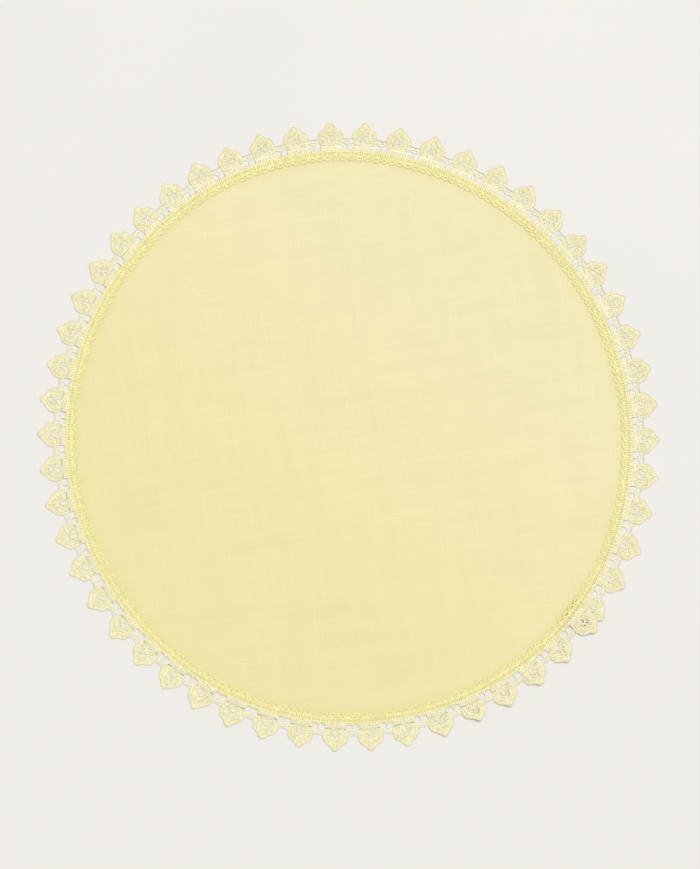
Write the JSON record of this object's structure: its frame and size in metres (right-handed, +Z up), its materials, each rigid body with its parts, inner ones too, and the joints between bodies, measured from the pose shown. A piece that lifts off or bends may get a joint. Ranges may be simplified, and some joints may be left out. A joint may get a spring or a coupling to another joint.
{
  "type": "placemat",
  "caption": "Round linen placemat with an openwork lace edging of pointed heads, lying flat on the table.",
  "frame": {"origin": "on the surface the mat lies on, under the middle of its outline", "axes": "+Z up out of the mat's face, +Y towards the far edge as seen in the picture, +X to the right; the lace's lapped join is at the lower right"},
  "size_m": [0.3776, 0.3816, 0.0046],
  "materials": {
    "linen": "pale yellow plain-weave slub linen, matte",
    "lace_yarn": "pale yellow embroidered lace, soft satin sheen"
  },
  "bodies": {
    "root": {"linen_panel": "linen", "lace_edging": "lace_yarn"}
  },
  "joints": []
}
